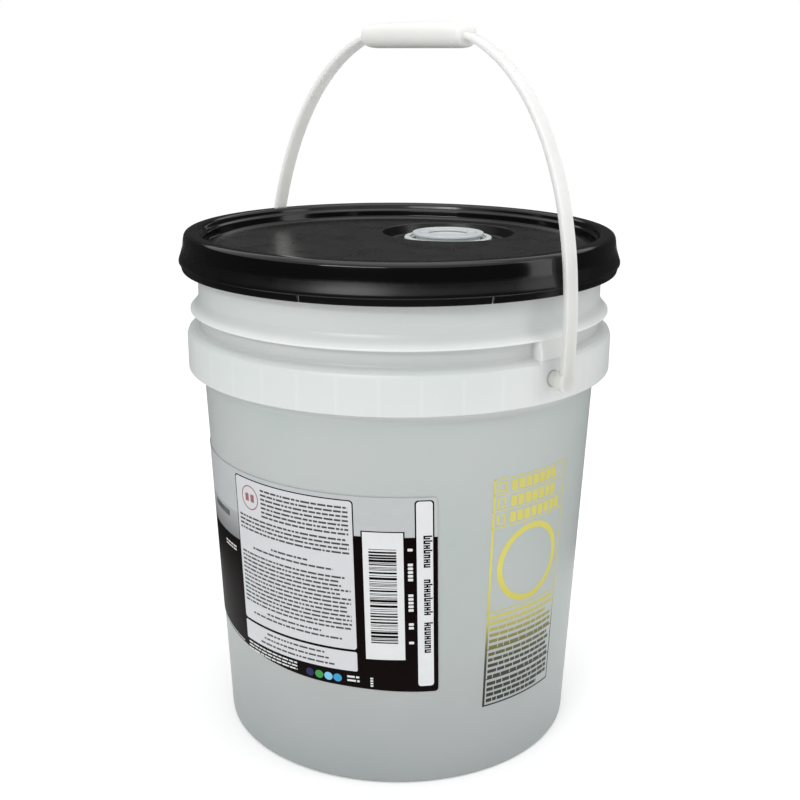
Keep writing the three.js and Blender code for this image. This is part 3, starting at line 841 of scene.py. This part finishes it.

# %% [markdown]
# ## Natural polyethylene
#
# High density polyethylene without pigment is milky: light goes a few millimetres in and comes out
# again, so the wall has soft shading. Behind the wall the liquid takes light away, so the tapered
# wall looks greyer than the band and the neck, which have air behind them. The tone therefore follows
# the height, and painted light rides on it: painted shade darkens the wall towards the bottom and in
# the recess under the ring, and a painted highlight brightens the ring's edge. The ears carry painted
# light, which lifts the shade at their sides, and the ribs show as faint lines. The mould leaves a
# satin skin with very slight ripples.

# %% Tone by height with painted shade and a painted highlight, and the moulded skin
def place_of(tree):
    """A point in metres in the object's own frame, and the node with its X, Y and Z."""
    where = add(tree, "TexCoord").outputs["Object"]
    return where, add(tree, "SeparateXYZ", {"Vector": where})


def satin_bump(tree, shader, where, scale, strength, distance):
    """Fine unevenness of a moulded skin."""
    noise = add(tree, "TexNoise", {"Vector": where}, Scale=scale, Detail=3.0, Roughness=0.6)
    bump = add(tree, "Bump", {"Height": noise}, Strength=strength, Distance=distance)
    feed(tree, bump, shader.inputs["Normal"])


natural, tree, shader = finish_of("natural_hdpe_moulded", {
    "Roughness": 0.36, "IOR": 1.54, "Specular IOR Level": 0.45,
    "Subsurface Weight": 0.18, "Subsurface Radius": (1.0, 1.0, 0.95), "Subsurface Scale": 0.006,
})
where, axes = place_of(tree)
satin_bump(tree, shader, where, 60, 0.12, 0.0006)
height = add(tree, "MapRange", {"Value": axes.outputs["Z"]}, From_Min=0.0, From_Max=0.4)
# Painted light in this ramp: the wall darkens towards the bottom (painted shade), dips under the ring
# (painted shade in the recess), and has a narrow bright band at the ring's edge (painted highlight).
tone_and_painted_light_by_height = add(tree, "ValToRGB", {"Fac": height}, [
    (0.0, "#A1A7A8"), (0.1, "#A9AFB0"), (0.35, "#BAC0BF"), (0.66, "#C1C8C7"),
    (0.672, "#DFE3E4"), (0.745, "#DBE0E0"), (0.755, "#CBCECE"), (0.779, "#D2D6D6"),
    (0.783, "#EFF2F2"), (0.789, "#E8ECEC"), (0.795, "#D5DADA"), (0.86, "#D4D9D9"),
])

# %% Painted light on the ears, and a cloudy tone
across = add(tree, "VectorMath", {0: where}, operation="MULTIPLY", i1=(1, 1, 0))
from_axis = add(tree, "VectorMath", {0: across}, operation="LENGTH")
# Painted light: the ears' faces and sides are lifted to a lighter tone, which paints out their shade.
raised = add(tree, "MapRange", {"Value": from_axis}, From_Min=0.1440, From_Max=0.1475)
beside = add(tree, "Math", {0: axes.outputs["Z"]}, operation="COMPARE", i1=0.3068, i2=0.0060)
ear_painted_light = add(tree, "Math", {0: raised, 1: beside}, operation="MULTIPLY")
tone_with_painted_light = add(tree, "Mix", {"Factor": ear_painted_light, "A": tone_and_painted_light_by_height}, data_type="RGBA", B=linear("#E2E6E6"))
cloud = add(tree, "TexNoise", {"Vector": where}, Scale=9.0, Detail=2.0)
shade = add(tree, "MapRange", {"Value": cloud}, From_Min=0.3, From_Max=0.7)
tint = add(tree, "ValToRGB", {"Fac": shade}, [(0.0, "#F4F7F4"), (1.0, "#FFFCFB")])
milky = add(tree, "Mix", {"A": tone_with_painted_light, "B": tint}, data_type="RGBA", blend_type="MULTIPLY", Factor=1.0)

# %% Faint lines where the ribs stand behind the band
bearing = add(tree, "Math", {0: axes.outputs["Y"], 1: axes.outputs["X"]}, operation="ARCTAN2")
pitch = add(tree, "Math", {0: bearing}, operation="MULTIPLY", i1=rib_count / (2 * math.pi))
pitch = add(tree, "Math", {0: pitch}, operation="FRACT")
pitch = add(tree, "Math", {0: pitch}, operation="PINGPONG", i1=0.5)
near_rib = add(tree, "MapRange", {"Value": pitch}, From_Min=0.43, From_Max=0.5)
on_band = add(tree, "Math", {0: axes.outputs["Z"]}, operation="COMPARE", i1=0.284, i2=0.012)
line = add(tree, "Math", {0: near_rib, 1: on_band}, operation="MULTIPLY")
line = add(tree, "Math", {0: line}, operation="MULTIPLY", i1=0.12)
ribbed = add(tree, "Mix", {"Factor": line, "A": milky}, data_type="RGBA", B=linear("#F6F9F9"))
feed(tree, ribbed, shader.inputs["Base Color"])

# %% [markdown]
# ## Black polyethylene
#
# The lid is pigmented with carbon black. Its skin is glossy on the rim and the skirt, which were
# polished in the mould, and a little duller on the panel, where fine scuffs from handling break up
# the reflections.

# %% The lid's finish
black, tree, shader = finish_of("black_hdpe_glossy", {
    "Roughness": 0.2, "IOR": 1.5, "Specular IOR Level": 0.4,
}, "#080708")
where, axes = place_of(tree)
scuff = add(tree, "TexNoise", {"Vector": where}, Scale=45.0, Detail=5.0, Roughness=0.65)
varied = add(tree, "MapRange", {"Value": scuff}, From_Min=0.3, From_Max=0.7, To_Min=0.85, To_Max=1.2)
panel_or_rim = add(tree, "MapRange", {"Value": axes.outputs["Z"]},
                   From_Min=0.3548, From_Max=0.3572, To_Min=0.3, To_Max=0.12)
rough = add(tree, "Math", {0: panel_or_rim, 1: varied}, operation="MULTIPLY")
feed(tree, rough, shader.inputs["Roughness"])
ripple = add(tree, "TexNoise", {"Vector": where}, Scale=26.0, Detail=2.0)
bump = add(tree, "Bump", {"Height": ripple}, Strength=0.25, Distance=0.0006)
feed(tree, bump, shader.inputs["Normal"])

# %% [markdown]
# ## White mouldings, gasket and liquid
#
# The bail is a warm white and waxy, and light goes right through its thin strap. Low down, where it
# hangs before the pail, the strap carries painted shade. The cap is a cooler white. The spout and its
# ring are natural and soft, so they look greener. The gasket and the liquid are inside.

# %% The other plastics
def moulded(name, code, warmer, rough_value, scale, strength, subsurface=0.1, depth=0.004):
    """A plain moulded plastic with a slightly uneven tone and skin."""
    material, tree, shader = finish_of(name, {
        "Roughness": rough_value, "IOR": 1.5, "Subsurface Weight": subsurface,
        "Subsurface Radius": (1.0, 0.97, 0.92), "Subsurface Scale": depth,
    })
    where = place_of(tree)[0]
    cloud = add(tree, "TexNoise", {"Vector": where}, Scale=scale, Detail=3.0)
    shade = add(tree, "MapRange", {"Value": cloud}, From_Min=0.3, From_Max=0.7)
    tone = add(tree, "ValToRGB", {"Fac": shade}, [(0.0, code), (1.0, warmer)])
    feed(tree, tone, shader.inputs["Base Color"])
    satin_bump(tree, shader, where, 240, strength, 0.0001)
    return material


bail_white = moulded("white_hdpe_moulded", "#E4E4E2", "#E9E9E7", 0.42, 18.0, 0.02, 0.9, 0.012)
cap_white = moulded("cap_hdpe_white", "#CBD0D2", "#D2D6D8", 0.32, 30.0, 0.1)
spout_natural = moulded("soft_ldpe_natural", "#CBD2CF", "#D3D8D5", 0.38, 30.0, 0.12, 0.25)
gasket_rubber = moulded("gasket_foam_rubber", "#77797C", "#838588", 0.8, 200.0, 0.5, 0.0)
liquid = moulded("cloudy_alkaline_liquid", "#B4BAB8", "#BAC0BD", 0.08, 8.0, 0.02, 0.0)

# %% Painted shade on the bail's lower ends
tree = bail_white.node_tree
base = tree.nodes["Principled BSDF"].inputs["Base Color"]
# Painted shade: the strap's colour is greyed towards its lower ends.
painted_shade_share = add(tree, "MapRange", {"Value": place_of(tree)[1].outputs["Z"]}, From_Min=0.30, From_Max=0.41)
bail_painted_shade = add(tree, "ValToRGB", {"Fac": painted_shade_share}, [(0.0, "#DDDEDC"), (1.0, "#FFFFFF")])
tone_with_painted_light = add(tree, "Mix", {"A": bail_painted_shade, "B": base.links[0].from_socket}, data_type="RGBA",
            blend_type="MULTIPLY", Factor=1.0)
feed(tree, tone_with_painted_light, base)

# %% [markdown]
# ## Label film and inks
#
# The label is a printed plastic film with a gloss varnish. Ink on the bare wall has no varnish, and
# the moulded skin shows through it.

# %% Film and ink finishes
def printed(name, code, rough_value=0.42, specular=0.22):
    """Ink under a clear varnish, with a faint unevenness of the film."""
    material, tree, shader = finish_of(name, {
        "Roughness": rough_value, "IOR": 1.5, "Specular IOR Level": specular,
    })
    where = place_of(tree)[0]
    cloud = add(tree, "TexNoise", {"Vector": where}, Scale=120.0, Detail=2.0)
    darker = (*(0.93 * c for c in linear(code)[:3]), 1)
    tone = add(tree, "Mix", {"Factor": cloud}, data_type="RGBA", A=darker, B=linear(code))
    feed(tree, tone, shader.inputs["Base Color"])
    satin_bump(tree, shader, where, 90, 0.06, 0.0004)
    return material


ink_black = printed("label_ink_near_black", "#0E0504", 0.44, 0.06)
ink_pale = printed("label_ink_pale_grey", "#BDC0C1")
ink_white = printed("label_ink_white", "#DFE1E2")
ink_panel = printed("label_ink_panel_grey", "#D3D4D7")
ink_print = printed("label_ink_print", "#4A4A4C")
ink_navy = printed("label_ink_navy", "#232A5C")
ink_green = printed("label_ink_green", "#3E9A4B")
ink_sky = printed("label_ink_sky", "#7FC4E4")
ink_teal = printed("label_ink_teal", "#3C9CC8")
ink_symbol = printed("label_ink_symbol", "#9B6A6C")

# %% Silver band and wall ink
ink_silver, tree, shader = finish_of("label_ink_silver", {
    "Roughness": 0.42, "IOR": 1.5, "Specular IOR Level": 0.25,
})
where, axes = place_of(tree)
height = add(tree, "MapRange", {"Value": axes.outputs["Z"]}, From_Min=0.160, From_Max=0.185)
tone = add(tree, "ValToRGB", {"Fac": height}, [(0.0, "#7B7C7D"), (0.55, "#9B9D9E"), (1.0, "#AEB1B2")])
feed(tree, tone, shader.inputs["Base Color"])
satin_bump(tree, shader, where, 90, 0.06, 0.0004)

ink_wall, tree, shader = finish_of("wall_ink_yellow_to_black", {"Roughness": 0.38, "IOR": 1.5})
where, axes = place_of(tree)
height = add(tree, "MapRange", {"Value": axes.outputs["Z"]}, From_Min=0.05, From_Max=0.23)
tone = add(tree, "ValToRGB", {"Fac": height}, [
    (0.0, "#14140F"), (0.2, "#34331A"), (0.29, "#7A7638"),
    (0.38, "#C4BC58"), (0.6, "#D8CF66"), (1.0, "#CFC768"),
])
feed(tree, tone, shader.inputs["Base Color"])
satin_bump(tree, shader, where, 60, 0.1, 0.0004)

# %% [markdown]
# ## Dress the pieces
#
# Each new piece takes its finish and the CAD body that it rides on, and the solid that it stands for
# is hidden.

# %% Finish, body and solid of each piece
def dress(obj, finish, body, node):
    """Gives a piece its finish and its place in the frame."""
    obj.data.materials.clear()
    obj.data.materials.append(finish)
    if body:
        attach(obj, body)
    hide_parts(node)


for obj in (pail_body, ribs, wall_ink):
    dress(obj, ink_wall if obj is wall_ink else natural, "pail", "pail_body")
dress(lid, black, "lid", "lid")
dress(bail, bail_white, "bail", "bail")
dress(spout_ring, spout_natural, "lid", "spout_ring")
dress(cap, cap_white, "cap", "spout_cap")
dress(tab_rear, cap_white, "tab_rear", "pull_tab_rear")
dress(tab_front, cap_white, "tab_front", "pull_tab_front")
for obj in (spout_neck, pull_ring):
    dress(obj, spout_natural, "spout", "spout")
dress(spout_wall_piece, spout_natural, None, "spout")
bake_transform(spout_wall_piece)
label_parts = [
    (film_dark, ink_black), (film_silver, ink_silver), (film_pale, ink_pale), (outline_dark, ink_black),
    (panels_white, ink_white), (panels_text, ink_panel), (print_rows, ink_print), (bars_dark, ink_black),
    (letters_dark, ink_black), (symbol_rim, ink_symbol), (symbol_core, ink_symbol),
    (small_white, ink_white), (curve_white, ink_white), (title, ink_print),
    (dots[0], ink_navy), (dots[1], ink_green), (dots[2], ink_sky), (dots[3], ink_teal),
]
for obj, finish in label_parts:
    dress(obj, finish, "pail", "front_label")
for node, finish in (("lid_gasket", gasket_rubber), ("liquid_fill", liquid)):
    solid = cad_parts[node]
    solid.data.materials.clear()
    solid.data.materials.append(finish)

# %% [markdown]
# ## Camera
#
# The camera stands where the photographer's did: its place, height, tilt and lens were worked out
# from the ellipses of the pail's rings.

# %% Camera
lens_pixels, picture, middle_pixel = 1192.46, 800, 398.63
distance, eye, tilt, roll, ear_turn = 0.851, 0.4863, math.radians(16.18), math.radians(0.3), 40.3
azimuth = math.radians(90 - ear_turn)
camera = bpy.data.objects.new("camera", bpy.data.cameras.new("camera"))
bpy.context.collection.objects.link(camera)
camera.data.sensor_width = 36.0
camera.data.lens = 36.0 * lens_pixels / picture
camera.location = (distance * math.sin(azimuth), -distance * math.cos(azimuth), eye)
toward = Vector((-math.sin(azimuth) * math.cos(tilt), math.cos(azimuth) * math.cos(tilt), -math.sin(tilt)))
camera.rotation_euler = (toward.to_track_quat("-Z", "Y") @ Quaternion((0, 0, 1), roll)).to_euler()
camera.data.shift_x = (picture / 2 - middle_pixel) / picture
bpy.context.scene.camera = camera

# %% [markdown]
# ## Floor, backdrop and light
#
# The floor and the surroundings are white, as in a catalogue picture. Large soft boxes light the
# pail from above, from the front left and from the right. Dark cards stand out of view, because a
# black lid shows whatever it faces, and would look grey in an all white room. A small bright card
# puts the window's streak on the rims. Only reflections see the cards.

# %% Floor and world
reach, floor_level = 6000, -0.5
floor = mesh_object("floor", [
    (x, y, floor_level) for x, y in ((-reach, -reach), (reach, -reach), (reach, reach), (-reach, reach))
], [(0, 1, 2, 3)])
white_floor, tree, shader = finish_of("studio_floor_paint", {
    "Roughness": 0.9, "Specular IOR Level": 0.1, "Emission Color": (1, 1, 1, 1),
}, "#F8F8F8")
path_kind = add(tree, "LightPath")
glow = add(tree, "MapRange", {"Value": path_kind.outputs["Is Camera Ray"]}, To_Max=0.2)
feed(tree, glow, shader.inputs["Emission Strength"])
floor.data.materials.append(white_floor)
world = bpy.data.worlds.new("studio")
bpy.context.scene.world = world
world.use_nodes = True
tree = world.node_tree
kinds = add(tree, "LightPath").outputs
seen = add(tree, "Math", {0: kinds["Is Camera Ray"], 1: kinds["Is Glossy Ray"]}, operation="MAXIMUM")
seen = add(tree, "Math", {0: seen, 1: kinds["Is Transmission Ray"]}, operation="MAXIMUM")
level = add(tree, "MapRange", {"Value": seen}, To_Min=0.86, To_Max=1.0)
feed(tree, level, tree.nodes["Background"].inputs["Strength"])
tree.nodes["Background"].inputs["Color"].default_value = (1, 1, 1, 1)


# %% Lamps and cards
def soft_box(name, spot, aim, width, height, power):
    """An area lamp in metres, aimed at a point."""
    lamp = bpy.data.lights.new(name, "AREA")
    lamp.shape, lamp.size, lamp.size_y, lamp.energy = "RECTANGLE", width, height, power
    obj = bpy.data.objects.new(name, lamp)
    bpy.context.collection.objects.link(obj)
    obj.location = spot
    obj.rotation_euler = (Vector(aim) - Vector(spot)).to_track_quat("-Z", "Y").to_euler()
    return obj


def around(turn_angle, reach, height):
    """A point round the pail. Turns of more than 0 degrees go from the camera to its right."""
    angle = math.radians(turn_angle - ear_turn)
    return (reach * math.cos(angle), reach * math.sin(angle), height)


soft_box("top_box", (0, 0, 1.7), (0, 0, 0.3), 1.3, 1.3, 5)
soft_box("left_box", around(-27, 1.7, 1.2), (0, 0, 0.3), 0.8, 0.22, 7)
soft_box("right_box", around(74, 1.6, 0.8), (0, 0, 0.25), 0.5, 1.0, 3)


def card(name, section, grey, first=0, last=360):
    """A card bent round the pail, which only reflections see. Its section is in metres."""
    rim = [(r / MM, z / MM) for r, z in section]
    columns = [(angle, rim) for angle in np.linspace(first, last, 73)]
    obj = loft(name, columns, closed_section=False)
    obj.visible_camera = obj.visible_diffuse = False
    obj.visible_shadow = obj.visible_transmission = False
    material, tree, shader = finish_of(name + "_cloth", {
        "Roughness": 1.0, "Emission Strength": 1.0,
    }, "#000000")
    shader.inputs["Emission Color"].default_value = (grey, grey, grey, 1)
    obj.data.materials.append(material)


card("wall_card", [(2.6, 0.02), (2.6, 1.6)], 0.05)
card("floor_card", [(0.34, 0.001), (2.6, 0.001)], 0.04)
card("window_card", [(1.7, 1.08), (1.7, 1.34)], 6, -75, -47)

# %% Plain view transform
bpy.context.scene.view_settings.view_transform = "Standard"
